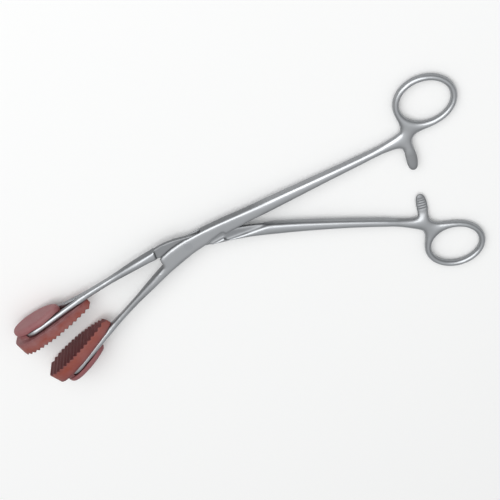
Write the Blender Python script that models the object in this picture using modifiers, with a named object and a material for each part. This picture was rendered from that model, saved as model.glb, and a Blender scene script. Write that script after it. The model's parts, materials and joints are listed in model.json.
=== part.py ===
"""Uterine holding forceps with a box lock, finger rings, a ratchet and rubber jaw inserts.

Both arms are modelled about the pin of the box lock: the pin stands along Z, the handles lie
toward +X, the jaws toward -X, and the middle plane of both arms is Z = 0. The forceps are half
open: from there the tongue arm turns about the pin by CLOSING_TURN until the inserts all but
meet. An empty then tilts them by the degree or two at which their broad jaws and thin finger
rings both lie on a table, with the lower end of the pin on the world origin.
"""
import math

import bmesh
import bpy
import numpy as np
from mathutils import Matrix, Vector

# Lengths are in metres and angles in degrees.
# Distances run along an arm's centreline from the pin, negative toward the jaw.
GAP = 0.0003                 # between pieces that touch on the real forceps
GROOVE_GAP = 0.0005          # by which an insert's groove is grown around its loop
CLOSING_TURN = 8.7
LOCK_CLEARANCE = 0.0005      # left in plan between the arms inside the lock, fully closed

# Centrelines: the heading of each straight run, and where the bends between them lie
BOX_OFFSET = -0.0016
BOX_JAW_HEADING = 35.0
BOX_HANDLE_HEADING = 12.4
BOX_JAW_BEND = -0.011
BOX_HANDLE_BEND = 0.017
TONGUE_OFFSET = 0.0011
TONGUE_JAW_HEADING = 18.6
TONGUE_BOX_HEADING = 1.0
TONGUE_HANDLE_HEADING = -12.0
TONGUE_RING_HEADING = -19.5
TONGUE_JAW_BEND = -0.028
TONGUE_BOX_BEND = -0.004
TONGUE_HANDLE_BEND = 0.045
ARM_REACH = 0.125

# Bars of the arms
BOX_THICKNESS = 0.0058
SHANK_THICKNESS = 0.0044     # where a shank meets its finger ring
JAW_THICKNESS = 0.0042       # where a shank meets its loop
BOX_WIDTH = 0.0086
TONGUE_WIDTH = 0.0084
BOX_SHANK_WIDTH = 0.0080     # where the handle leaves the lock
TONGUE_SHANK_WIDTH = 0.0062
HANDLE_WIDTH = 0.0038        # where a shank meets its finger ring
JAW_WIDTH_AT_BOX = 0.0045
JAW_WIDTH_AT_LOOP = 0.0034

# Box lock
CHEEK_RISE = 0.0030          # how far the box stands proud of its jaw, toward the other jaw
CHEEK_START = -0.0175
CUTBACK_START = 0.0040       # the box's lower edge is cut back from here
CUTBACK_END = 0.0208         # to here,
CUTBACK_RISE = -0.0020       # up to this offset from the centreline
TONGUE_THICKNESS = 0.0024
PIN_DIAMETER = 0.0044

# Jaw loops: distances from the pin
LOOP_HEEL = 0.0660
CROTCH = 0.0710              # where the hole begins
LOOP_TIP = 0.1085
LOOP_WIDTH = 0.0146
RAIL_WIDTH = 0.0023
RAIL_DEPTH = 0.0030

# Rubber inserts: distances from the pin, heights from the middle of the rails
PAD_HEEL = 0.0668
PAD_TIP = 0.1166
PAD_WIDTH = 0.0186
PAD_HEIGHT = 0.0091
TOOTH_PITCH = 0.0030
TOOTH_DEPTH = 0.0015
FLANGE_HEEL = 0.0826
FLANGE_TIP = 0.1134
FLANGE_WIDTH = 0.0140
FLANGE_HEIGHT = 0.0053
FLANGE_ROUNDING = 0.0022

# Finger rings
RING_REACH = 0.1456          # from the pin to a ring's centre
RING_SPREAD = 18.2           # from the axis of the forceps to a ring's centre
RING_AXIS = 0.2              # the axis lies midway between the rings
RING_LENGTH = 0.0268         # of the hole
RING_HEIGHT = 0.0226         # of the hole
RING_TILT = 6.0
RING_OPENING = 34.0          # the angle of the ring that the web takes up
RING_START = 206.0           # and where it begins
RING_STEPS = 11
WIRE_WIDTH = 0.0032
WIRE_DEPTH = 0.0042

# Ratchet
RATCHET_PLACE = 0.1250
RATCHET_TIP = 0.0082
RATCHET_ROOT = 0.0190
RATCHET_WIDTH = 0.0056
RATCHET_THICKNESS = 0.0021
RATCHET_TEETH = 6
RATCHET_PITCH = 0.00155
RATCHET_TOOTH_DEPTH = 0.0007

SUBDIVISIONS = 2
SQUARENESS = 0.34            # crease along a bar's corners,
RING_WEB = 0.114             # up to where the rounder forging of the finger ring begins
CAGE_GROWTH = 1.09           # a smoothed bar is slimmer than its cage by this factor
LOCK_CROWN = 1.15            # the lock is forged this much too thick,
GROUND_REACH = 0.050         # and ground flat this far to each side of the pin
FAR = 0.030                  # how far cutters reach past what they cut

# Each arm's heading at some distances, and at its stations the distance and the widths toward
# the upper and the lower side of the centreline. The heading turns evenly in between.
BOX_ARM = {
    "offset": BOX_OFFSET,
    "headings": (
        (-ARM_REACH, BOX_JAW_HEADING),
        (BOX_JAW_BEND, BOX_JAW_HEADING),
        (BOX_HANDLE_BEND, BOX_HANDLE_HEADING),
        (ARM_REACH, BOX_HANDLE_HEADING),
    ),
    "stations": (
        (-LOOP_HEEL, JAW_WIDTH_AT_LOOP / 2, JAW_WIDTH_AT_LOOP / 2),
        (-0.0450, JAW_WIDTH_AT_LOOP / 2, JAW_WIDTH_AT_LOOP / 2),
        (-0.0260, JAW_WIDTH_AT_BOX / 2, JAW_WIDTH_AT_BOX / 2),
        (CHEEK_START - 0.0010, JAW_WIDTH_AT_BOX / 2, 0.0026),
        (CHEEK_START, JAW_WIDTH_AT_BOX / 2, 0.0027),
        (CHEEK_START + 0.0012, BOX_WIDTH / 2 + CHEEK_RISE - 0.0007, 0.0029),
        (CHEEK_START + 0.0030, BOX_WIDTH / 2 + CHEEK_RISE, 0.0032),
        (-0.0050, BOX_WIDTH / 2 + 0.7 * CHEEK_RISE, 0.0038),
        (0.0030, BOX_WIDTH / 2 + 0.3 * CHEEK_RISE, BOX_WIDTH / 2),
        (0.0120, BOX_WIDTH / 2, BOX_WIDTH / 2),
        (0.0220, BOX_SHANK_WIDTH / 2, BOX_SHANK_WIDTH / 2),
        (0.0360, 0.0034, 0.0034),
        (0.0540, 0.0030, 0.0030),
        (0.0760, 0.0024, 0.0024),
        (0.0980, HANDLE_WIDTH / 2, HANDLE_WIDTH / 2),
        (0.1120, HANDLE_WIDTH / 2, HANDLE_WIDTH / 2),
    ),
}
TONGUE_ARM = {
    "offset": TONGUE_OFFSET,
    "headings": (
        (-ARM_REACH, TONGUE_JAW_HEADING),
        (TONGUE_JAW_BEND, TONGUE_JAW_HEADING),
        (TONGUE_BOX_BEND, TONGUE_BOX_HEADING),
        (TONGUE_HANDLE_BEND, TONGUE_HANDLE_HEADING),
        (ARM_REACH, TONGUE_RING_HEADING),
    ),
    "stations": (
        (-LOOP_HEEL, JAW_WIDTH_AT_LOOP / 2, JAW_WIDTH_AT_LOOP / 2),
        (-0.0450, JAW_WIDTH_AT_LOOP / 2, JAW_WIDTH_AT_LOOP / 2),
        (-0.0280, JAW_WIDTH_AT_BOX / 2, JAW_WIDTH_AT_BOX / 2),
        (-0.0200, JAW_WIDTH_AT_BOX / 2, JAW_WIDTH_AT_BOX / 2),
        (-0.0150, 0.0034, 0.0034),
        (-0.0080, 0.0038, TONGUE_WIDTH / 2),
        (0.0000, 0.0036, TONGUE_WIDTH / 2),
        (0.0090, 0.0032, TONGUE_WIDTH / 2),
        (0.0180, 0.0029, 0.0036),
        (0.0300, TONGUE_SHANK_WIDTH / 2, TONGUE_SHANK_WIDTH / 2),
        (0.0450, 0.0030, 0.0030),
        (0.0660, 0.0025, 0.0025),
        (0.0900, 0.0020, 0.0020),
        (0.1040, HANDLE_WIDTH / 2, HANDLE_WIDTH / 2),
        (0.1120, HANDLE_WIDTH / 2, HANDLE_WIDTH / 2),
    ),
}

# A rail of a jaw loop: shares of the loop's length and half-width, and how far its inner
# side lags behind its outer side, as a share of the rail's width
RAIL_SHAPE = ((0.22, 0.46, 0.0), (0.44, 0.68, 0.0), (0.65, 0.88, 0.0), (0.84, 1.03, 0.0),
              (0.955, 0.78, 0.6))

# Sections of the web from a shank to its finger ring: their corners away from and toward the
# axis of the forceps, from the corner of the ring's outer box that is nearest the pin
WEB_SECTIONS = (
    ((-0.0004, -0.0005), (0.0000, -0.0079)),
    ((0.0012, 0.0008), (0.0060, -0.0051)),
    ((0.0019, 0.0050), (0.0098, -0.0018)),
)


def walk(arm, distance):
    """Return the point and the heading of an arm's centreline at a distance from the pin."""
    places = [place for place, _ in arm["headings"]]
    angles = [math.radians(angle) for _, angle in arm["headings"]]
    low, high = sorted((0.0, distance))
    stops = [low] + [place for place in places if low < place < high] + [high]
    point = Vector((0.0, arm["offset"]))
    for start, end in zip(stops, stops[1:]):
        first, last = np.interp((start, end), places, angles)
        half_turn = (last - first) / 2
        chord = math.copysign(end - start, distance) * float(np.sinc(half_turn / math.pi))
        point += chord * Vector((math.cos(first + half_turn), math.sin(first + half_turn)))
    return point, float(np.interp(distance, places, angles))


def beside(arm, distance, offset, height=0.0):
    """Return the point at an offset to the upper side of an arm's centreline."""
    point, heading = walk(arm, distance)
    point += offset * Vector((-math.sin(heading), math.cos(heading)))
    return Vector((point.x, point.y, height))


def edge_of(arm, side, distances):
    """Return points along the upper (side 1) or lower (side -1) edge of an arm's cage."""
    places = [station[0] for station in arm["stations"]]
    widths = [station[1] if side > 0 else station[2] for station in arm["stations"]]
    return [beside(arm, place, side * CAGE_GROWTH * float(np.interp(place, places, widths)))
            for place in map(float, distances)]


def turned(points, degrees, moved=(0.0, 0.0)):
    """Turn points about the pin, then move them in plan."""
    turn = Matrix.Rotation(math.radians(degrees), 2)
    return [turn @ point.to_2d() + Vector(moved) for point in points]


def extrude_to(bm, tags, face, section):
    """Extrude an end face and move each of its corners to the section's point of that name."""
    names = [tags[vert] for vert in face.verts]
    new_face = bmesh.ops.extrude_discrete_faces(bm, faces=[face])["faces"][0]
    for vert, name in zip(new_face.verts, names):
        vert.co = section[name]
        tags[vert] = name
    return new_face


def side_of(tags, face, position, value):
    """Return the quad beside an end face, along the edge whose corners share a name."""
    for edge in face.edges:
        if all(tags[vert][position] == value for vert in edge.verts):
            return next(other for other in edge.link_faces if other is not face)


def rename(tags, face, outer, position):
    """Name a side face's corners anew: 1 for the outer ones, -1 for the others."""
    for vert in face.verts:
        tags[vert] = (1 if vert in outer else -1, tags[vert][position])


def weld(bm, first, second):
    """Join two end faces that lie on each other."""
    bmesh.ops.delete(bm, geom=[first, second], context="FACES_ONLY")
    bmesh.ops.remove_doubles(bm, verts=bm.verts, dist=0.00001)


def bar_section(arm, station, margin=0.0):
    """Return the four corners of a bar's cage at one station."""
    distance, upper, lower = station
    thickness = float(np.interp(
        distance,
        (-0.8 * GROUND_REACH, CHEEK_START, CUTBACK_END, 0.9 * GROUND_REACH, ARM_REACH),
        (JAW_THICKNESS, BOX_THICKNESS * LOCK_CROWN, BOX_THICKNESS * LOCK_CROWN,
         0.9 * BOX_THICKNESS, SHANK_THICKNESS)))
    return {
        (side, level): beside(arm, distance, side * (width * CAGE_GROWTH + margin),
                              level * (thickness / 2 * CAGE_GROWTH + margin))
        for side, width in ((1, upper), (-1, lower))
        for level in (1, -1)
    }


def start_bar(bm, tags, first, second):
    """Begin a bar with one block between two sections, and return its two end faces."""
    bmesh.ops.create_cube(bm, size=2.0)
    faces = sorted(bm.faces, key=lambda face: face.calc_center_median().x)
    for vert in bm.verts:
        tags[vert] = (round(vert.co.y), round(vert.co.z))
        vert.co = (first if vert.co.x < 0 else second)[tags[vert]]
    return faces[0], faces[-1]


def add_loop(bm, tags, arm, heel_face, margin=0.0):
    """Split the end of a jaw shank into two rails that meet again at the tip."""
    half_depth = RAIL_DEPTH / 2 * CAGE_GROWTH + margin
    wall = RAIL_WIDTH * CAGE_GROWTH + 2 * margin
    outer = set(heel_face.verts)

    def rail_section(level, reach, half_width, lag):
        return {
            (ring, side): beside(arm, -(reach if ring > 0 else reach - lag), side * half_depth,
                                 level * (half_width if ring > 0 else half_width - wall))
            for ring in (1, -1) for side in (1, -1)
        }

    crotch = extrude_to(bm, tags, heel_face, {
        (side, level): beside(arm, -CROTCH - margin, side * half_depth,
                              level * (RAIL_WIDTH / 4 - margin))
        for side in (1, -1) for level in (1, -1)
    })
    rail_faces = {level: side_of(tags, crotch, 1, level) for level in (1, -1)}
    tips = []
    for level, face in rail_faces.items():
        rename(tags, face, outer, 0)
        for length_share, width_share, lag_share in RAIL_SHAPE:
            face = extrude_to(bm, tags, face, rail_section(
                level, LOOP_HEEL + length_share * (LOOP_TIP - LOOP_HEEL),
                LOOP_WIDTH / 2 * width_share + margin, lag_share * wall))
        tip = {(ring, side): beside(arm, -(LOOP_TIP + margin if ring > 0
                                           else LOOP_TIP + margin - wall), side * half_depth)
               for ring in (1, -1) for side in (1, -1)}
        tips.append(extrude_to(bm, tags, face, tip))
    weld(bm, *tips)


def add_handle(bm, tags, end_face, hand):
    """Extend a shank into its finger ring; hand is 1 above the axis, -1 below.

    Returns the corners and the side face from which the ratchet arm grows.
    """
    angle = math.radians(RING_AXIS + hand * RING_SPREAD)
    centre = RING_REACH * Vector((math.cos(angle), math.sin(angle), 0.0))
    corner = centre - Vector((RING_LENGTH / 2 + WIRE_WIDTH,
                              hand * (RING_HEIGHT / 2 + WIRE_WIDTH), 0.0))
    tilt = Matrix.Rotation(math.radians(hand * RING_TILT), 3, "Z")

    def web_section(offsets, half_depth):
        away, toward = (Vector((x, hand * y, 0.0)) for x, y in offsets)
        return {
            (side, level): corner + (away if side == hand else toward)
            + Vector((0.0, 0.0, level * half_depth))
            for side in (1, -1) for level in (1, -1)
        }

    face = extrude_to(bm, tags, end_face, web_section(WEB_SECTIONS[0], SHANK_THICKNESS / 2))
    before = set(face.verts)
    face = extrude_to(bm, tags, face, web_section(WEB_SECTIONS[1], SHANK_THICKNESS / 2))
    ratchet_root = side_of(tags, face, 0, -hand)
    web = extrude_to(bm, tags, face, web_section(WEB_SECTIONS[2], WIRE_DEPTH / 2))

    step = math.radians(360 - RING_OPENING) / RING_STEPS
    spread = (2 + math.cos(step)) / 3
    start = math.radians(RING_START)

    def ring_point(angle, ring, level):
        half_length = (RING_LENGTH + WIRE_WIDTH * (1 + ring * CAGE_GROWTH)) / 2
        half_height = (RING_HEIGHT + WIRE_WIDTH * (1 + ring * CAGE_GROWTH)) / 2
        point = tilt @ Vector((half_length * math.cos(angle),
                               hand * half_height * math.sin(angle), 0.0))
        return centre + point / spread + Vector((0.0, 0.0, level * WIRE_DEPTH / 2 * CAGE_GROWTH))

    outer = set(web.verts)
    ends = {hand: start, -hand: start + math.radians(RING_OPENING)}
    inner = extrude_to(bm, tags, web, {
        (side, level): ring_point(ends[side], -1, level)
        for side in (1, -1) for level in (1, -1)
    })
    face = side_of(tags, inner, 0, hand)
    last_face = side_of(tags, inner, 0, -hand)
    last_section = {(1 if vert in outer else -1, tags[vert][1]): vert.co.copy()
                    for vert in last_face.verts}
    rename(tags, face, outer, 1)
    for index in range(1, RING_STEPS):
        face = extrude_to(bm, tags, face, {
            (ring, level): ring_point(start - index * step, ring, level)
            for ring in (1, -1) for level in (1, -1)
        })
    face = extrude_to(bm, tags, face, last_section)
    weld(bm, face, last_face)
    return before, ratchet_root


def add_ratchet(bm, tags, before, root_face, hand):
    """Extend the ratchet arm from the side of a shank toward the axis of the forceps."""
    rename(tags, root_face, before, 1)
    near, far = hand * GAP / 2, hand * (GAP / 2 + RATCHET_THICKNESS * CAGE_GROWTH)
    arm_levels = {hand: far, -hand: near}
    root_levels = {level: 0.6 * arm_levels[level] + 0.4 * level * SHANK_THICKNESS / 2
                   for level in (1, -1)}
    rows = (
        (RATCHET_ROOT + 0.0022, 0.98, root_levels),
        (RATCHET_ROOT, 1.00, arm_levels),
        ((RATCHET_ROOT + RATCHET_TIP) / 2, 1.04, arm_levels),
        (RATCHET_TIP, 0.66, arm_levels),
    )
    face = root_face
    for y, share, levels in rows:
        face = extrude_to(bm, tags, face, {
            (ring, level): Vector((RATCHET_PLACE - ring * RATCHET_WIDTH / 2 * share, hand * y,
                                   levels[level]))
            for ring in (1, -1) for level in (1, -1)
        })


def arm_object(name, arm, hand, material, collection):
    """Model one arm as a cage that is smoothed into a forging."""
    bm = bmesh.new()
    tags = {}
    sections = [bar_section(arm, station) for station in arm["stations"]]
    jaw_end, face = start_bar(bm, tags, sections[0], sections[1])
    for section in sections[2:]:
        face = extrude_to(bm, tags, face, section)
    add_loop(bm, tags, arm, jaw_end)
    before, root_face = add_handle(bm, tags, face, hand)
    add_ratchet(bm, tags, before, root_face, hand)
    keep_square(bm, tags)
    bmesh.ops.recalc_face_normals(bm, faces=bm.faces)
    arm_obj = object_from(bm, name, collection, material)
    arm_obj.data.shade_smooth()
    smooth(arm_obj)
    return arm_obj


def keep_square(bm, tags):
    """Crease the corners along the shanks and rails, so that their sections stay squarish."""
    crease = bm.edges.layers.float.new("crease_edge")
    for edge in bm.edges:
        first, second = edge.verts
        if tags[first] == tags[second] and max(first.co.x, second.co.x) < RING_WEB:
            edge[crease] = SQUARENESS


def loop_tool(name, arm, collection):
    """Model the end of a jaw with its loop, grown a little, to cut an insert's groove."""
    bm = bmesh.new()
    tags = {}
    half = JAW_WIDTH_AT_LOOP / 2
    first, second = (bar_section(arm, (-place, half, half), GROOVE_GAP)
                     for place in (LOOP_HEEL, LOOP_HEEL / 2))
    jaw_end, _ = start_bar(bm, tags, first, second)
    add_loop(bm, tags, arm, jaw_end, GROOVE_GAP)
    keep_square(bm, tags)
    bmesh.ops.recalc_face_normals(bm, faces=bm.faces)
    tool = object_from(bm, name, collection)
    smooth(tool)
    return tool


def smooth(obj):
    """Round a cage with a Subdivision Surface modifier."""
    modifier = obj.modifiers.new("Smooth", "SUBSURF")
    modifier.levels = SUBDIVISIONS
    modifier.render_levels = SUBDIVISIONS


def object_from(bm, name, collection, material=None):
    """Turn a bmesh into an object; without a material it is a cutter."""
    mesh = bpy.data.meshes.new(name)
    bm.to_mesh(mesh)
    bm.free()
    obj = bpy.data.objects.new(name, mesh)
    collection.objects.link(obj)
    if material:
        mesh.materials.append(material)
    else:
        obj.hide_render = True
        obj.display_type = "WIRE"
    return obj


def prism(name, outline, bottom, top, collection, material=None):
    """Raise a flat outline into a closed solid between two heights."""
    bm = bmesh.new()
    verts = [bm.verts.new((point[0], point[1], bottom)) for point in outline]
    base = bm.faces.new(verts)
    raised = bmesh.ops.extrude_face_region(bm, geom=[base])["geom"]
    bmesh.ops.translate(bm, vec=(0.0, 0.0, top - bottom),
                        verts=[item for item in raised if isinstance(item, bmesh.types.BMVert)])
    bmesh.ops.recalc_face_normals(bm, faces=bm.faces)
    return object_from(bm, name, collection, material)


def cylinder(name, radius, depth, collection, material=None):
    """Model a round bar along Z whose middle is at its origin."""
    bm = bmesh.new()
    bmesh.ops.create_cone(bm, cap_ends=True, segments=40, radius1=radius, radius2=radius,
                          depth=depth)
    obj = object_from(bm, name, collection, material)
    shade_round(obj)
    return obj


def shade_round(obj):
    """Shade a mesh smooth, with its sharp edges kept."""
    obj.data.shade_smooth()
    obj.data.set_sharp_from_angle(angle=math.radians(35))


def boolean(obj, other, operation, carrier=None):
    """Cut, join or intersect an object with another, which moves with it or with a carrier."""
    modifier = obj.modifiers.new(other.name, "BOOLEAN")
    modifier.operation = operation
    modifier.solver = "EXACT"
    modifier.object = other
    other.parent = carrier or obj


def slot_outline():
    """Plan of the slot through the box: all that the tongue arm sweeps as it opens and closes."""
    upper = edge_of(TONGUE_ARM, 1, np.linspace(0.009, 0.060, 11))
    lower = edge_of(TONGUE_ARM, -1, np.linspace(-0.001, -0.030, 7))
    upper = turned(upper, CLOSING_TURN, (0.0, LOCK_CLEARANCE))
    lower = turned(lower, CLOSING_TURN, (0.0, -LOCK_CLEARANCE))
    return (
        [Vector((upper[0].x, FAR))] + upper
        + [Vector((upper[-1].x, -FAR)), Vector((lower[0].x, -FAR))]
        + lower + [Vector((lower[-1].x, FAR))]
    )


def cutback_corners():
    """Return where the cut-back of the box's lower edge starts, and its inner corner."""
    start = edge_of(BOX_ARM, -1, [CUTBACK_START])[0].to_2d()
    return start, beside(BOX_ARM, CUTBACK_END, CUTBACK_RISE).to_2d()


def cutback_outline():
    """Plan of the wedge that is cut from the lower edge of the box."""
    start, corner = cutback_corners()
    foot = beside(BOX_ARM, CUTBACK_END, -BOX_WIDTH).to_2d()
    outside = start + (start - corner) * 0.6
    return [outside, corner, foot, Vector((outside.x, -FAR))]


def shoulder_outline():
    """Plan of the stretch where the tongue arm is thinned to pass through the closed box."""
    cheek_places = np.linspace(CHEEK_START - 0.003, CHEEK_START + 0.005, 9)
    cheek = turned(edge_of(BOX_ARM, 1, cheek_places), -CLOSING_TURN)
    jaw_wall = min(point.x for point in cheek if point.y > -BOX_WIDTH / 2) - LOCK_CLEARANCE
    start, _ = cutback_corners()
    toe_place = CUTBACK_END - LOCK_CLEARANCE
    toe = beside(BOX_ARM, toe_place, CUTBACK_RISE)
    heel_edge = edge_of(BOX_ARM, -1, [toe_place, *np.linspace(0.026, 0.062, 7)])
    handle_side = turned([start, toe] + heel_edge, -CLOSING_TURN, (0.0, -LOCK_CLEARANCE))
    return (
        [Vector((jaw_wall, FAR)), Vector((jaw_wall, -FAR)), Vector((handle_side[0].x, -FAR))]
        + handle_side + [Vector((handle_side[-1].x, FAR))]
    )


def tooth_cutters(name, hand, collection):
    """Model the triangular grooves across the side of a ratchet arm that faces the other."""
    bm = bmesh.new()
    face_height = hand * GAP / 2
    for index in range(RATCHET_TEETH):
        y = hand * (RATCHET_TIP + RATCHET_PITCH * (index + 1))
        wall = bm.faces.new([
            bm.verts.new((RATCHET_PLACE - RATCHET_WIDTH, y + along * RATCHET_PITCH / 2,
                          face_height + height))
            for along, height in ((-0.98, -hand * GAP / 3), (0.98, -hand * GAP / 3),
                                  (0.0, hand * RATCHET_TOOTH_DEPTH))
        ])
        raised = bmesh.ops.extrude_face_region(bm, geom=[wall])["geom"]
        bmesh.ops.translate(bm, vec=(2 * RATCHET_WIDTH, 0.0, 0.0),
                            verts=[item for item in raised
                                   if isinstance(item, bmesh.types.BMVert)])
    bmesh.ops.recalc_face_normals(bm, faces=bm.faces)
    return object_from(bm, name, collection)


def egg_outline(heel, tip, width, fullness, bluntness, count=20):
    """Closed outline of an egg shape along X, with flat sides where it is broadest."""
    upper = []
    for index in range(1, count):
        share = 0.5 - 0.5 * math.cos(math.pi * index / count)
        half = width / 2 * 1.03 * math.sin(math.pi * share ** fullness) ** bluntness
        upper.append((heel + (tip - heel) * share, min(half, width / 2)))
    return [(heel, 0.0)] + upper + [(tip, 0.0)] + [(x, -y) for x, y in reversed(upper)]


def insert_profile():
    """Side view of an insert's toothed block: distance from the pin, height above the rails."""
    seat = RAIL_DEPTH / 2 + GAP
    count = int((PAD_TIP - PAD_HEEL) / TOOTH_PITCH - 0.5)
    first = (PAD_TIP + PAD_HEEL - count * TOOTH_PITCH) / 2
    closed_angle = BOX_JAW_HEADING - TONGUE_JAW_HEADING - CLOSING_TURN
    slope = math.tan(math.radians(closed_angle / 2))

    def crest(x):
        return PAD_HEIGHT + slope * (x - (PAD_HEEL + PAD_TIP) / 2)

    points = [(PAD_HEEL, seat), (PAD_HEEL, crest(first) - 1.4 * TOOTH_DEPTH)]
    for index in range(count):
        x = first + index * TOOTH_PITCH
        points.append((x, crest(x) - TOOTH_DEPTH))
        points.append((x + TOOTH_PITCH / 2, crest(x)))
    last = first + count * TOOTH_PITCH
    points += [(last, crest(last) - TOOTH_DEPTH), (PAD_TIP, crest(last) - 1.6 * TOOTH_DEPTH),
               (PAD_TIP, seat)]
    return points


def insert_object(name, arm, side, arm_obj, collections, material):
    """Model one rubber insert: X runs along its jaw to the tip, Z toward the other jaw."""
    parts, cutters = collections
    seat = RAIL_DEPTH / 2 + GAP
    insert = prism(name, insert_profile(), -PAD_WIDTH, PAD_WIDTH, parts, material)
    insert.data.transform(Matrix.Rotation(math.radians(90), 4, "X"))
    shade_round(insert)
    plan = egg_outline(PAD_HEEL, PAD_TIP, PAD_WIDTH, 1.7, 0.36)
    block_plan = prism(name + "_plan", plan, 0.0, 2 * PAD_HEIGHT, cutters)
    plan = egg_outline(FLANGE_HEEL, FLANGE_TIP, FLANGE_WIDTH, 1.15, 0.42)
    flange = prism(name + "_flange", plan, -FLANGE_HEIGHT, -seat, cutters)
    round_rim(flange, -FLANGE_HEIGHT, FLANGE_ROUNDING)
    shade_round(flange)
    plan = egg_outline(FLANGE_HEEL + GAP, FLANGE_TIP - GAP, LOOP_WIDTH - RAIL_WIDTH, 1.2, 0.42)
    core = prism(name + "_core", plan, -seat - GAP, seat + GAP, cutters)
    boolean(insert, block_plan, "INTERSECT")
    boolean(insert, flange, "UNION")
    boolean(insert, core, "UNION")
    boolean(insert, loop_tool(name + "_groove", arm, cutters), "DIFFERENCE", arm_obj)

    point, heading = walk(arm, -LOOP_HEEL)
    along = Vector((-math.cos(heading), -math.sin(heading), 0.0))
    inward = side * Vector((-math.sin(heading), math.cos(heading), 0.0))
    place = Matrix((along, inward.cross(along), inward)).transposed().to_4x4()
    place.translation = point.to_3d() - LOOP_HEEL * along
    insert.matrix_basis = place
    insert.parent = arm_obj


def round_rim(obj, height, radius):
    """Round the edge around the face that lies at one height."""
    bm = bmesh.new()
    bm.from_mesh(obj.data)
    rim = [edge for edge in bm.edges
           if all(abs(vert.co.z - height) < 1e-6 for vert in edge.verts)]
    bmesh.ops.bevel(bm, geom=rim, offset=radius, segments=4, profile=0.5, affect="EDGES")
    bm.to_mesh(obj.data)
    bm.free()


def material_of(name, colour, metallic, roughness):
    """Return a new Principled material."""
    material = bpy.data.materials.new(name)
    material.use_nodes = True
    shader = material.node_tree.nodes["Principled BSDF"]
    shader.inputs["Base Color"].default_value = (*colour, 1.0)
    shader.inputs["Metallic"].default_value = metallic
    shader.inputs["Roughness"].default_value = roughness
    return material


def rest_tilt():
    """Return the angle at which the broad inserts and the thin finger rings meet a table."""
    jaw_contact = walk(BOX_ARM, -(0.3 * PAD_HEEL + 0.7 * PAD_TIP))[0].x
    ring_contact = RING_REACH * math.cos(math.radians(RING_SPREAD)) + RING_LENGTH / 2
    return math.atan((PAD_WIDTH - WIRE_DEPTH) / 2 / (ring_contact - jaw_contact))


def build():
    for old in list(bpy.data.objects):
        bpy.data.objects.remove(old, do_unlink=True)
    parts = bpy.data.collections.new("uterine_forceps")
    cutters = bpy.data.collections.new("cutters")
    for collection in (parts, cutters):
        bpy.context.scene.collection.children.link(collection)

    box_steel = material_of("box_arm_steel", (0.62, 0.63, 0.66), 1.0, 0.28)
    tongue_steel = material_of("tongue_arm_steel", (0.60, 0.61, 0.64), 1.0, 0.28)
    pin_steel = material_of("pivot_pin_steel", (0.56, 0.57, 0.60), 1.0, 0.24)
    box_rubber = material_of("box_jaw_rubber", (0.36, 0.085, 0.055), 0.0, 0.55)
    tongue_rubber = material_of("tongue_jaw_rubber", (0.35, 0.083, 0.055), 0.0, 0.55)

    box_arm = arm_object("box_arm", BOX_ARM, 1, box_steel, parts)
    tongue_arm = arm_object("tongue_arm", TONGUE_ARM, -1, tongue_steel, parts)
    for arm_obj in (box_arm, tongue_arm):
        for level, name in ((1, "_ground_top"), (-1, "_ground_bottom")):
            low, high = sorted((level * BOX_THICKNESS / 2, level * FAR))
            slab = prism(arm_obj.name + name, [(-GROUND_REACH, -FAR), (GROUND_REACH, -FAR),
                                               (GROUND_REACH, FAR), (-GROUND_REACH, FAR)],
                         low, high, cutters)
            boolean(arm_obj, slab, "DIFFERENCE")

    slot_half = TONGUE_THICKNESS / 2 + GAP
    slot = prism("slot", slot_outline(), -slot_half, slot_half, cutters)
    boolean(box_arm, slot, "DIFFERENCE")
    boolean(box_arm, prism("cutback", cutback_outline(), -FAR, FAR, cutters), "DIFFERENCE")
    for level, name in ((1, "shoulder_top"), (-1, "shoulder_bottom")):
        low, high = sorted((level * TONGUE_THICKNESS / 2, level * FAR))
        boolean(tongue_arm, prism(name, shoulder_outline(), low, high, cutters), "DIFFERENCE")
    for arm_obj, hand in ((box_arm, 1), (tongue_arm, -1)):
        pin_hole = cylinder(arm_obj.name + "_pin_hole", PIN_DIAMETER / 2 + GAP, FAR, cutters)
        boolean(arm_obj, pin_hole, "DIFFERENCE")
        boolean(arm_obj, tooth_cutters(arm_obj.name + "_teeth", hand, cutters), "DIFFERENCE")

    pivot_pin = cylinder("pivot_pin", PIN_DIAMETER / 2, BOX_THICKNESS, parts, pin_steel)
    pivot_pin.parent = box_arm
    insert_object("box_jaw_insert", BOX_ARM, 1, box_arm, (parts, cutters), box_rubber)
    insert_object("tongue_jaw_insert", TONGUE_ARM, -1, tongue_arm, (parts, cutters),
                  tongue_rubber)

    table = bpy.data.objects.new("on_the_table", None)
    parts.objects.link(table)
    table.matrix_basis = (Matrix.Rotation(rest_tilt(), 4, "Y")
                          @ Matrix.Translation((0.0, 0.0, BOX_THICKNESS / 2)))
    box_arm.parent = table
    tongue_arm.parent = table


build()
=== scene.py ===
import json
import math

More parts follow.
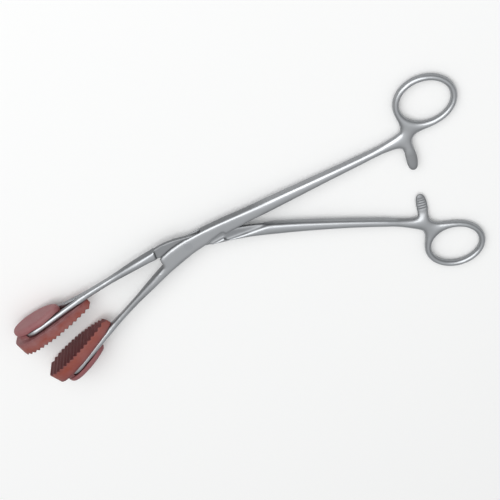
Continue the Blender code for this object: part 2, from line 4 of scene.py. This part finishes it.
import bpy
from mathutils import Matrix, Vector


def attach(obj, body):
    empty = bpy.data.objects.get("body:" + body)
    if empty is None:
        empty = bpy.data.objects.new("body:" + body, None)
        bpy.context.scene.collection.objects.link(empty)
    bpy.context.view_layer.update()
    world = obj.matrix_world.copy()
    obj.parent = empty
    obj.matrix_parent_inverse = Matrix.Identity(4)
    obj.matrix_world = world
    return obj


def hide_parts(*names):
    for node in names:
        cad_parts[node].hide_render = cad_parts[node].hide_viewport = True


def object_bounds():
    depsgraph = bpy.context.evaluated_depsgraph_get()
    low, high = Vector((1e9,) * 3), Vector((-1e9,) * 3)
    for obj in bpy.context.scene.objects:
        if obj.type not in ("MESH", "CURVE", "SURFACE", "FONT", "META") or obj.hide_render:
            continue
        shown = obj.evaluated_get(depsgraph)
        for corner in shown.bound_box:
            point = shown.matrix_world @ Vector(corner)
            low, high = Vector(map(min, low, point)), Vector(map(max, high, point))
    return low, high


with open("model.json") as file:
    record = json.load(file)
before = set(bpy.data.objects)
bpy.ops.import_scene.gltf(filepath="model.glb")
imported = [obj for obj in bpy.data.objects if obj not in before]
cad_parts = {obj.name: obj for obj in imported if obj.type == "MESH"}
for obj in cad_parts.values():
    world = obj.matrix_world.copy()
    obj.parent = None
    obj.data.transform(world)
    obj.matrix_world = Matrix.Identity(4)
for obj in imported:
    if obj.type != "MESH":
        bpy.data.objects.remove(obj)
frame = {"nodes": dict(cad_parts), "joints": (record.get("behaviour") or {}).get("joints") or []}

cad_box = [list(corner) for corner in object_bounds()]


# The view: a camera that looks down past the box arm's side at about 35 degrees from straight
# above, with a long lens, as in a catalogue photograph.
CAMERA_PLACE = (0.10404, 0.33434, 0.51059)
CAMERA_TURN = (-34.940, -2.401, -15.336)
LENS = 82.8
NEAREST_SEEN = 0.01
FARTHEST_SEEN = 20.0

camera_data = bpy.data.cameras.new("view")
camera_data.lens = LENS
camera_data.clip_start = NEAREST_SEEN
camera_data.clip_end = FARTHEST_SEEN
camera = bpy.data.objects.new("view", camera_data)
camera.location = CAMERA_PLACE
camera.rotation_euler = [math.radians(angle) for angle in CAMERA_TURN]
bpy.context.scene.collection.objects.link(camera)
bpy.context.scene.camera = camera
bpy.context.scene.view_settings.view_transform = "Standard"


# The floor: a wide sheet of matt white paper that the forceps lies on. It is large enough to
# fill any view from above, and it isn't part of the object.
FLOOR_SIZE = 12.0
FLOOR_COLOUR = (0.99, 0.99, 0.985, 1.0)
FLOOR_ROUGHNESS = 0.9

bpy.ops.mesh.primitive_plane_add(size=FLOOR_SIZE, location=(0.0, 0.0, cad_box[0][2]))
floor = bpy.context.object
floor.name = "floor"
paper = bpy.data.materials.new("white_paper")
paper.use_nodes = True
paper_shader = paper.node_tree.nodes["Principled BSDF"]
paper_shader.inputs["Base Color"].default_value = FLOOR_COLOUR
paper_shader.inputs["Roughness"].default_value = FLOOR_ROUGHNESS
floor.data.materials.append(paper)


# The light: one wide soft box above the forceps, a little on the camera's side, in a room whose
# ceiling is pale and whose walls are dim. The roundings of the steel shine in the soft box, and
# its flat ground faces mirror the dimmer part of the ceiling.
ROOM_LEVELS = (                # how far from straight down to straight up, and how bright there
    (0.0, 0.20),
    (0.50, 0.22),
    (0.75, 0.42),
    (0.91, 0.62),
    (1.0, 0.90),
)
ROOM_TINT = (0.985, 0.995, 1.0)
SOFT_BOX_PLACE = (-0.35, 0.85, 1.50)
SOFT_BOX_SIZE = 2.0
SOFT_BOX_POWER = 20.5


def rescaled(tree, value, start=0.0, end=1.0, low=0.0, high=1.0, way="LINEAR"):
    """Turn a value between start and end into one between low and high, and hold it there."""
    scale = tree.nodes.new("ShaderNodeMapRange")
    scale.interpolation_type = way
    scale.inputs["From Min"].default_value = start
    scale.inputs["From Max"].default_value = end
    scale.inputs["To Min"].default_value = low
    scale.inputs["To Max"].default_value = high
    tree.links.new(value, scale.inputs["Value"])
    return scale.outputs["Result"]


def tinted(tree, value, stops, way="LINEAR"):
    """Turn a value from 0 to 1 into a colour, by stops that each have a position and a colour."""
    tint = tree.nodes.new("ShaderNodeValToRGB")
    ramp = tint.color_ramp
    ramp.interpolation = way
    while len(ramp.elements) < len(stops):
        ramp.elements.new(0.5)
    for element, (position, colour) in zip(ramp.elements, stops):
        element.position = position
        element.color = (*colour, 1.0)
    tree.links.new(value, tint.inputs["Fac"])
    return tint.outputs["Color"]


world = bpy.data.worlds.new("room")
world.use_nodes = True
room = world.node_tree
direction = room.nodes.new("ShaderNodeTexCoord")
height = room.nodes.new("ShaderNodeSeparateXYZ")
room.links.new(direction.outputs["Generated"], height.inputs["Vector"])
upward = rescaled(room, height.outputs["Z"], start=-1.0)
room_stops = [(position, [part * level for part in ROOM_TINT]) for position, level in ROOM_LEVELS]
room.links.new(tinted(room, upward, room_stops, way="EASE"),
               room.nodes["Background"].inputs["Color"])
bpy.context.scene.world = world

soft_box_data = bpy.data.lights.new("soft_box", "AREA")
soft_box_data.size = SOFT_BOX_SIZE
soft_box_data.energy = SOFT_BOX_POWER
soft_box = bpy.data.objects.new("soft_box", soft_box_data)
soft_box.location = SOFT_BOX_PLACE
soft_box.rotation_euler = (-Vector(SOFT_BOX_PLACE)).to_track_quat("-Z", "Y").to_euler()
bpy.context.scene.collection.objects.link(soft_box)


# The two arms: stainless steel forgings with a satin finish. The lock is machined and its inner
# faces stay flat, while the outer faces are polished to a low crown that runs out into the bars.
# Each starts as a copy of its CAD solid, laid out anew in facets small enough to be rubbed down.
BOX_ARM_COLOUR = (0.56, 0.572, 0.585)
# the tongue arm's steel is a little darker than the box arm's: a painted shade
TONGUE_ARM_SHADED_COLOUR = (0.54, 0.552, 0.565)

hinge = frame["joints"][0]
lock_middle = Vector(hinge["pos_m"])
pin_axis = Vector(hinge["axis"])

# The steel: polished where it faces up or down, blasted on its sides, dull in recesses, with
# painted shade on the sides and in the recesses
SIDE_FLATNESS = 0.25           # how far a normal points up or down where the sides end
FACE_FLATNESS = 0.85           # and where the polished faces start
SIDE_PAINTED_SHADE = 0.62           # the sides keep this share of the steel's colour, a painted shade
SIDE_ROUGHNESS = 0.42
FACE_ROUGHNESS = 0.31
RECESS_PAINTED_SHADE = 0.72         # the recesses and the ratchet arms keep this share of the colour, a painted shade
RECESS_ROUGHNESS = 0.55
MARK_SCALE = 60.0              # faint clouds that handling leaves, by their number to the metre
MARK_DETAIL = 4.0
MARK_TINT = (0.86, 0.87, 0.89)
STEEL_GRAIN_SCALE = 2600.0
STEEL_GRAIN_DETAIL = 2.0
STEEL_GRAIN_STRENGTH = 0.08
STEEL_GRAIN_DEPTH = 0.0001


def noise(tree, place, scale, detail, roughness=0.5):
    """A noise pattern laid out in the piece's own space, as a share from 0 to 1."""
    pattern = tree.nodes.new("ShaderNodeTexNoise")
    pattern.inputs["Scale"].default_value = scale
    pattern.inputs["Detail"].default_value = detail
    pattern.inputs["Roughness"].default_value = roughness
    tree.links.new(place.outputs["Object"], pattern.inputs["Vector"])
    return pattern.outputs["Fac"]


def coated(tree, share, under, colour, way="MIX"):
    """A colour laid over the one under it, by a share from 0 to 1."""
    coat = tree.nodes.new("ShaderNodeMix")
    coat.data_type = "RGBA"
    coat.blend_type = way
    coat.inputs["B"].default_value = (*colour, 1.0)
    tree.links.new(share, coat.inputs["Factor"])
    tree.links.new(under, coat.inputs["A"])
    return coat.outputs["Result"]


def grained(tree, height, strength, depth):
    """A surface direction that is tipped by a fine grain, whose hollows are so many metres deep."""
    bump = tree.nodes.new("ShaderNodeBump")
    bump.inputs["Strength"].default_value = strength
    bump.inputs["Distance"].default_value = depth
    tree.links.new(height, bump.inputs["Height"])
    return bump.outputs["Normal"]


def satin_steel(name, colour):
    """Satin stainless steel: faces polished along the bar, sides left blasted and rougher, and
    sides and recesses darkened with painted shade.
    """
    material = bpy.data.materials.new(name)
    material.use_nodes = True
    tree = material.node_tree
    shader = tree.nodes["Principled BSDF"]
    shader.inputs["Metallic"].default_value = 1.0
    place = tree.nodes.new("ShaderNodeTexCoord")
    # the share of dull finish and painted shade, from the arm's attribute
    dull_and_painted_shade = tree.nodes.new("ShaderNodeAttribute")
    dull_and_painted_shade.attribute_name = "dull_and_painted_shade"

    facing = tree.nodes.new("ShaderNodeSeparateXYZ")
    tree.links.new(place.outputs["Normal"], facing.inputs["Vector"])
    flatness = tree.nodes.new("ShaderNodeMath")
    flatness.operation = "ABSOLUTE"
    tree.links.new(facing.outputs["Z"], flatness.inputs[0])
    polish_and_side_shade = rescaled(tree, flatness.outputs["Value"], start=SIDE_FLATNESS, end=FACE_FLATNESS,
                      way="SMOOTHSTEP")

    # the sides get a darker copy of the steel's colour: a painted shade
    side_shaded_metal = tree.nodes.new("ShaderNodeMix")
    side_shaded_metal.data_type = "RGBA"
    side_shaded_metal.inputs["A"].default_value = [SIDE_PAINTED_SHADE * part for part in colour] + [1.0]
    side_shaded_metal.inputs["B"].default_value = (*colour, 1.0)
    tree.links.new(polish_and_side_shade, side_shaded_metal.inputs["Factor"])
    handled = coated(tree, noise(tree, place, MARK_SCALE, MARK_DETAIL), side_shaded_metal.outputs["Result"],
                     MARK_TINT, way="MULTIPLY")
    # the recesses and the ratchet arm darkened: a painted shade
    painted_recess_shade = coated(tree, dull_and_painted_shade.outputs["Fac"], handled, [RECESS_PAINTED_SHADE] * 3, way="MULTIPLY")
    tree.links.new(painted_recess_shade, shader.inputs["Base Color"])

    gloss = tree.nodes.new("ShaderNodeMix")
    gloss.inputs["B"].default_value = RECESS_ROUGHNESS
    tree.links.new(dull_and_painted_shade.outputs["Fac"], gloss.inputs["Factor"])
    tree.links.new(rescaled(tree, polish_and_side_shade, low=SIDE_ROUGHNESS, high=FACE_ROUGHNESS),
                   gloss.inputs["A"])
    tree.links.new(gloss.outputs["Result"], shader.inputs["Roughness"])

    grain = noise(tree, place, STEEL_GRAIN_SCALE, STEEL_GRAIN_DETAIL)
    tree.links.new(grained(tree, grain, STEEL_GRAIN_STRENGTH, STEEL_GRAIN_DEPTH),
                   shader.inputs["Normal"])
    return material


# The blank: a closed skin in even facets, small enough to be rubbed down
WELD_DISTANCE = 1e-6
STEEL_FACET = 0.00032
RUB_STRENGTH = 0.5             # how far a round moves a point toward the middle of those around


def skin_copy(node, name):
    """A new object with a copy of a CAD node's skin, welded into one closed surface."""
    bpy.ops.object.select_all(action="DESELECT")
    piece = bpy.data.objects.new(name, frame["nodes"][node].data.copy())
    bpy.context.scene.collection.objects.link(piece)
    bpy.context.view_layer.objects.active = piece
    piece.select_set(True)
    bpy.ops.object.mode_set(mode="EDIT")
    bpy.ops.mesh.select_all(action="SELECT")
    bpy.ops.mesh.remove_doubles(threshold=WELD_DISTANCE)
    bpy.ops.mesh.customdata_custom_splitnormals_clear()
    bpy.ops.object.mode_set(mode="OBJECT")
    return piece


def lay_out_facets(piece, size):
    """Replace a piece's faces by small even ones, and join what overlaps in it."""
    facets = piece.modifiers.new("facets", "REMESH")
    facets.mode = "VOXEL"
    facets.voxel_size = size
    bpy.ops.object.modifier_apply(modifier="facets")


def rub_down(piece, rounds, group=""):
    """Smooth a piece, or the vertices of one group of it, as a polisher or a mould does."""
    rub = piece.modifiers.new("rub", "SMOOTH")
    rub.factor = RUB_STRENGTH
    rub.iterations = rounds
    rub.vertex_group = group
    bpy.ops.object.modifier_apply(modifier="rub")


# The pin's holes, which are filled in both walls of the box
PIN_HOLE_RADIUS = 0.0026
PIN_HOLE_SIDES = 64
PIN_END_LENGTH = 0.0013        # this far in from the box's outer faces
BOX_HALF_THICKNESS = 0.0029


def fill_pin_holes(arm):
    """Fill the pin's hole in both walls of the box, as the spread ends of the pin do."""
    bpy.ops.object.mode_set(mode="EDIT")
    for side in (1, -1):
        bpy.ops.mesh.primitive_cylinder_add(
            vertices=PIN_HOLE_SIDES, radius=PIN_HOLE_RADIUS, depth=PIN_END_LENGTH,
            location=lock_middle + side * (BOX_HALF_THICKNESS - PIN_END_LENGTH / 2) * pin_axis,
            rotation=(0.0, math.asin(pin_axis.x), 0.0))
    bpy.ops.object.mode_set(mode="OBJECT")


def open_with_faces(piece, wanted):
    """Open a piece in edit mode with only those faces selected that pass a test."""
    bpy.context.view_layer.objects.active = piece
    bpy.ops.object.mode_set(mode="EDIT")
    bpy.ops.mesh.select_mode(type="FACE")
    bpy.ops.mesh.select_all(action="DESELECT")
    bpy.ops.object.mode_set(mode="OBJECT")
    for face in piece.data.polygons:
        face.select = wanted(face)
    bpy.ops.object.mode_set(mode="EDIT")


# The ratchet arm, from its tip by the middle line to its neck at the shank
RATCHET_SIDES = (0.1175, 0.1325)
RATCHET_NECK = 0.0160
RATCHET_LEFT_EDGE = 0.1222     # the side toward the lock, which stays where it is
RATCHET_FULLNESS = 1.17
RATCHET_BLEND = 0.0100         # the neck takes part in it over this length


def widen_ratchet(arm):
    """Bring the ratchet arm to its full width up to the tip, by its side toward the ring."""
    open_with_faces(arm, lambda face: abs(face.center.y) < RATCHET_NECK
                    and RATCHET_SIDES[0] < face.center.x < RATCHET_SIDES[1])
    bpy.ops.transform.resize(value=(RATCHET_FULLNESS, 1.0, 1.0),
                             center_override=(RATCHET_LEFT_EDGE, 0.0, 0.0),
                             use_proportional_edit=True, proportional_edit_falloff="SMOOTH",
                             proportional_size=RATCHET_BLEND)
    bpy.ops.object.mode_set(mode="OBJECT")


# Where the polishing wheel goes: heights are measured from the middle of the lock along the pin,
# and lengths from the pin along the forceps
FLAT_HEIGHT = 0.0016           # up to this height the arms stay flat on the jaws' side
WEB_FLAT_HEIGHT = 0.0005       # and up to this one on the shanks' side
CROWN_RISE = 0.0010            # the crown is full this much higher
RATCHET_START = 0.115          # past this length an arm may be ratchet
RATCHET_ROOT = 0.018           # which it is up to this far from the middle line
SHANK_SIDE = 0.024             # and is no more from here on
LOCK_END = 0.036               # the arms turn from flat lock to round bar between this length
BAR_START = 0.048              # and this one
BAR_ROUNDING = 0.6             # how much of the crown's rubbing a bar gets all round
JAW_END = 0.052                # the jaws' bars fork into the thinner rails of the loops from here
LOOP_START = 0.068             # to here
LOOP_CROWN = 0.70              # and the rails get this share of the rubbing
RECESS_HEIGHT = 0.0019         # up to this height the lock is out of the wheel's reach: dull, and darkened with painted shade
RECESS_END = 0.038             # and so it is up to this length


def part_way(value, start, end):
    """How far a value is on its way from start to end, held between 0 and 1."""
    return min(max((value - start) / (end - start), 0.0), 1.0)


def reach_of_polish(place):
    """How far a place on an arm is crowned, how far it is a round bar, and how far it is dulled and
    darkened with painted shade, as recesses and the ratchet arm are.
    """
    height = abs((place - lock_middle).dot(pin_axis))
    length = abs(place.x)
    flat_height = FLAT_HEIGHT if place.x < 0.0 else WEB_FLAT_HEIGHT
    outward = part_way(height, flat_height, flat_height + CROWN_RISE)
    fade = SHANK_SIDE - RATCHET_ROOT
    off_ratchet = max(part_way(abs(place.y), RATCHET_ROOT, SHANK_SIDE),
                      part_way(place.x, RATCHET_START, RATCHET_START - fade))

    bar = min(part_way(length, LOCK_END, BAR_START), off_ratchet)
    crown = max(min(outward, off_ratchet), BAR_ROUNDING * bar)
    on_loop = part_way(place.length, JAW_END, LOOP_START) if place.x < 0.0 else 0.0
    spared = 1.0 - (1.0 - LOOP_CROWN) * on_loop

    # a dull finish and painted shade in the lock's recesses and on the ratchet arm
    in_lock = min(part_way(height, RECESS_HEIGHT + CROWN_RISE, RECESS_HEIGHT),
                  part_way(length, BAR_START, RECESS_END))
    dull_and_painted_shade = max(in_lock, 1.0 - off_ratchet)
    return spared * crown, spared * bar, dull_and_painted_shade


# The finishing: edges are eased all over, then the crowned faces are rubbed much longer, and the
# bars get back the thickness that the rubbing took
EDGE_ROUNDS = 6
CROWN_ROUNDS = 80
BAR_LOSS = 0.00022


def forge(arm, body, node, colour):
    """Finish one arm: facets, rubbed edges, crowned outer faces, steel and its place."""
    lay_out_facets(arm, STEEL_FACET)
    rub_down(arm, EDGE_ROUNDS)
    polished = arm.vertex_groups.new(name="polished")
    bars = arm.vertex_groups.new(name="bars")
    # an attribute that holds where the arm is dulled and darkened with painted shade
    bpy.ops.geometry.attribute_add(name="dull_and_painted_shade", domain="POINT", data_type="FLOAT")
    for vertex in arm.data.vertices:
        crown, bar, dull_and_painted_shade = reach_of_polish(vertex.co)
        arm.data.attributes["dull_and_painted_shade"].data[vertex.index].value = dull_and_painted_shade
        polished.add([vertex.index], crown, "REPLACE")
        bars.add([vertex.index], bar, "REPLACE")
    rub_down(arm, CROWN_ROUNDS, "polished")
    fuller = arm.modifiers.new("fuller", "DISPLACE")
    fuller.strength = BAR_LOSS
    fuller.mid_level = 0.0
    fuller.vertex_group = "bars"
    bpy.ops.object.modifier_apply(modifier="fuller")
    bpy.ops.object.shade_smooth()
    slot = node + "_steel"
    arm.data.materials.clear()
    arm.data.materials.append(satin_steel(slot, colour))
    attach(arm, body)
    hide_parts(node)


box_arm = skin_copy("box_arm", "box_arm_forging")
fill_pin_holes(box_arm)
widen_ratchet(box_arm)
forge(box_arm, "box_side", "box_arm", BOX_ARM_COLOUR)

tongue_arm = skin_copy("tongue_arm", "tongue_arm_forging")
widen_ratchet(tongue_arm)
forge(tongue_arm, "tongue_side", "tongue_arm", TONGUE_ARM_SHADED_COLOUR)


# The pivot pin: a turned steel rivet. Its two ends are spread to fill the holes in the box and
# ground off with its faces, so that only a hairline shows around them.
PIN_SHANK_RADIUS = 0.0022
PIN_HEAD_RADIUS = 0.00246
PIN_LENGTH = 2 * BOX_HALF_THICKNESS
PIN_HEAD_LENGTH = 0.0006
PIN_SIDES = 96
PIN_RIM = 0.00006
PIN_RIM_STEPS = 2
PIN_CREASE = math.radians(20.0)
PIN_COLOUR = (0.53, 0.542, 0.56)
SQUARE_ON = 0.9                # a face that looks along a line at least this much is square to it

bpy.ops.object.select_all(action="DESELECT")
bpy.ops.mesh.primitive_cylinder_add(
    vertices=PIN_SIDES, radius=PIN_SHANK_RADIUS, depth=PIN_LENGTH - 2 * PIN_HEAD_LENGTH,
    location=lock_middle, rotation=(0.0, math.asin(pin_axis.x), 0.0))
pin = bpy.context.object
pin.name = "pivot_rivet"
bpy.ops.object.transform_apply(location=True, rotation=True, scale=True)
spread = PIN_HEAD_RADIUS / PIN_SHANK_RADIUS
for end in (1, -1):
    middle = lock_middle + end * PIN_LENGTH / 2 * pin_axis
    open_with_faces(pin, lambda face: face.normal.dot(pin_axis) * end > SQUARE_ON)
    bpy.ops.mesh.extrude_region_move(
        TRANSFORM_OT_translate={"value": end * PIN_HEAD_LENGTH * pin_axis})
    bpy.ops.transform.resize(value=(spread, spread, spread), center_override=middle)
    bpy.ops.mesh.bevel(offset=PIN_RIM, segments=PIN_RIM_STEPS, affect="EDGES")
    bpy.ops.object.mode_set(mode="OBJECT")
bpy.ops.object.shade_smooth_by_angle(angle=PIN_CREASE)
pin.data.materials.append(satin_steel("pivot_pin_steel", PIN_COLOUR))
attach(pin, "box_side")
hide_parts("pivot_pin")


# The inserts: one-piece mouldings of brick red rubber, ribbed across the holding face and
# stretched over the rails of the loop. Their edges are soft, as a mould leaves them. The ribbed
# holding face is darkened with painted shade, and the flange behind the rails is tinted toward
# mauve as a painted sheen.
BOX_JAW_RAILS = (-0.0754, -0.0535, 0.0)       # a place in the plane of the loop's two rails
BOX_JAW_HEADING = 35.0                        # the plane's heading, in degrees from +X
BOX_JAW_BLOOM = 0.35                          # the bloom's greatest share of the colour
TONGUE_JAW_RAILS = (-0.0878, -0.0233, 0.0)
TONGUE_JAW_HEADING = 18.6
TONGUE_JAW_BLOOM = 0.80

# The rubber: its colour by depth, from the back of the flange to the crests of the ribs, with a
# painted sheen of mauve on the flange and a painted groove shadow just past the rails
FLANGE_DEPTH = -0.0055
CREST_DEPTH = 0.0095
DEPTH_TINTS = (
    # the flange's mauve: a painted sheen
    (0.00, (0.265, 0.100, 0.108)),
    (0.22, (0.280, 0.082, 0.088)),
    (0.36, (0.220, 0.055, 0.058)),
    # darkest just past the rails: a painted groove shadow
    (0.50, (0.150, 0.034, 0.034)),
    (0.58, (0.245, 0.050, 0.038)),
    (0.82, (0.275, 0.052, 0.030)),
    (1.00, (0.215, 0.046, 0.034)),
)
BLOOM = (0.30, 0.140, 0.140)
BLOOM_SCALE = 140.0            # clouds of dust, by their number to the metre
BLOOM_DETAIL = 6.0
BLOOM_ROUGHNESS = 0.6
BLOOM_RANGE = (0.35, 0.70)     # from bare to dusty in the clouds
# the holding face, which looks at the other jaw, is darkened: a painted shade
RIB_PAINTED_SHADE = (0.110, 0.022, 0.026)
RIB_SHADE_RANGE = (0.15, 0.75)     # how far a face looks at the other jaw, from unshaded to full painted shade
RIB_SHADE_SHARE = 0.85
RUBBER_ROUGHNESS = (0.42, 0.62)
RUBBER_GRAIN_SCALE = 1400.0
RUBBER_GRAIN_DETAIL = 3.0
RUBBER_GRAIN_STRENGTH = 0.25
RUBBER_GRAIN_DEPTH = 0.0002


def across_rails(heading):
    """The level direction across rails of a heading, to their left."""
    turn = math.radians(heading)
    return Vector((-math.sin(turn), math.cos(turn), 0.0))


def moulded_rubber(name, rail_middle, heading, side, bloom_share):
    """Filled rubber whose colour changes with the depth across its jaw, with a dusty bloom; the
    depth colours hold a painted sheen on the flange and a painted groove shadow by the rails, and
    the faces toward the other jaw get a painted shade.

    The side is 1 where the other jaw lies to the left of the rails, and -1 where to the right.
    """
    material = bpy.data.materials.new(name)
    material.use_nodes = True
    tree = material.node_tree
    shader = tree.nodes["Principled BSDF"]
    place = tree.nodes.new("ShaderNodeTexCoord")

    on_rails = tree.nodes.new("ShaderNodeMapping")
    on_rails.vector_type = "TEXTURE"
    on_rails.inputs["Location"].default_value = rail_middle
    on_rails.inputs["Rotation"].default_value = (0.0, 0.0, math.radians(heading))
    tree.links.new(place.outputs["Object"], on_rails.inputs["Vector"])
    offset = tree.nodes.new("ShaderNodeSeparateXYZ")
    tree.links.new(on_rails.outputs["Vector"], offset.inputs["Vector"])
    depth = rescaled(tree, offset.outputs["Y"], start=side * FLANGE_DEPTH, end=side * CREST_DEPTH)

    cloud = noise(tree, place, BLOOM_SCALE, BLOOM_DETAIL, BLOOM_ROUGHNESS)
    dusty = rescaled(tree, cloud, *BLOOM_RANGE, high=bloom_share)
    bloomed = coated(tree, dusty, tinted(tree, depth, DEPTH_TINTS), BLOOM)
    # the faces that look at the other jaw get a painted shade
    ribs = tree.nodes.new("ShaderNodeVectorMath")
    ribs.operation = "DOT_PRODUCT"
    ribs.inputs[1].default_value = side * across_rails(heading)
    tree.links.new(place.outputs["Normal"], ribs.inputs[0])
    rib_shaded = rescaled(tree, ribs.outputs["Value"], *RIB_SHADE_RANGE, high=RIB_SHADE_SHARE,
                       way="SMOOTHSTEP")
    tree.links.new(coated(tree, rib_shaded, bloomed, RIB_PAINTED_SHADE), shader.inputs["Base Color"])

    low, high = RUBBER_ROUGHNESS
    tree.links.new(rescaled(tree, cloud, low=low, high=high), shader.inputs["Roughness"])
    grain = noise(tree, place, RUBBER_GRAIN_SCALE, RUBBER_GRAIN_DETAIL)
    tree.links.new(grained(tree, grain, RUBBER_GRAIN_STRENGTH, RUBBER_GRAIN_DEPTH),
                   shader.inputs["Normal"])
    return material


# The moulding: the groove's walls lie on the rails, and the edges are soft
GROOVE_REACH = 0.0023          # the walls are no farther than this from the middle of the rails
GROOVE_SQUEEZE = 0.0003
RUBBER_FACET = 0.00035
RUBBER_ROUNDS = 4


def close_groove(insert, rail_middle, heading):
    """Bring the groove's walls in to the rails, as rubber lies that was stretched over them."""
    across = across_rails(heading)
    open_with_faces(insert, lambda face: abs(face.normal.dot(across)) > SQUARE_ON
                    and abs((face.center - Vector(rail_middle)).dot(across)) < GROOVE_REACH)
    bpy.ops.transform.shrink_fatten(value=GROOVE_SQUEEZE)
    bpy.ops.object.mode_set(mode="OBJECT")


def mould(node, name, body, rail_middle, heading, side, bloom_share):
    """Make one insert: its skin with a close groove and softened edges, in its rubber."""
    insert = skin_copy(node, name)
    close_groove(insert, rail_middle, heading)
    lay_out_facets(insert, RUBBER_FACET)
    rub_down(insert, RUBBER_ROUNDS)
    bpy.ops.object.shade_smooth()
    slot = node.replace("insert", "rubber")
    insert.data.materials.clear()
    insert.data.materials.append(moulded_rubber(slot, rail_middle, heading, side, bloom_share))
    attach(insert, body)
    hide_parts(node)


mould("box_jaw_insert", "box_jaw_rubber_insert", "box_side",
      BOX_JAW_RAILS, BOX_JAW_HEADING, side=1, bloom_share=BOX_JAW_BLOOM)
mould("tongue_jaw_insert", "tongue_jaw_rubber_insert", "tongue_side",
      TONGUE_JAW_RAILS, TONGUE_JAW_HEADING, side=-1, bloom_share=TONGUE_JAW_BLOOM)
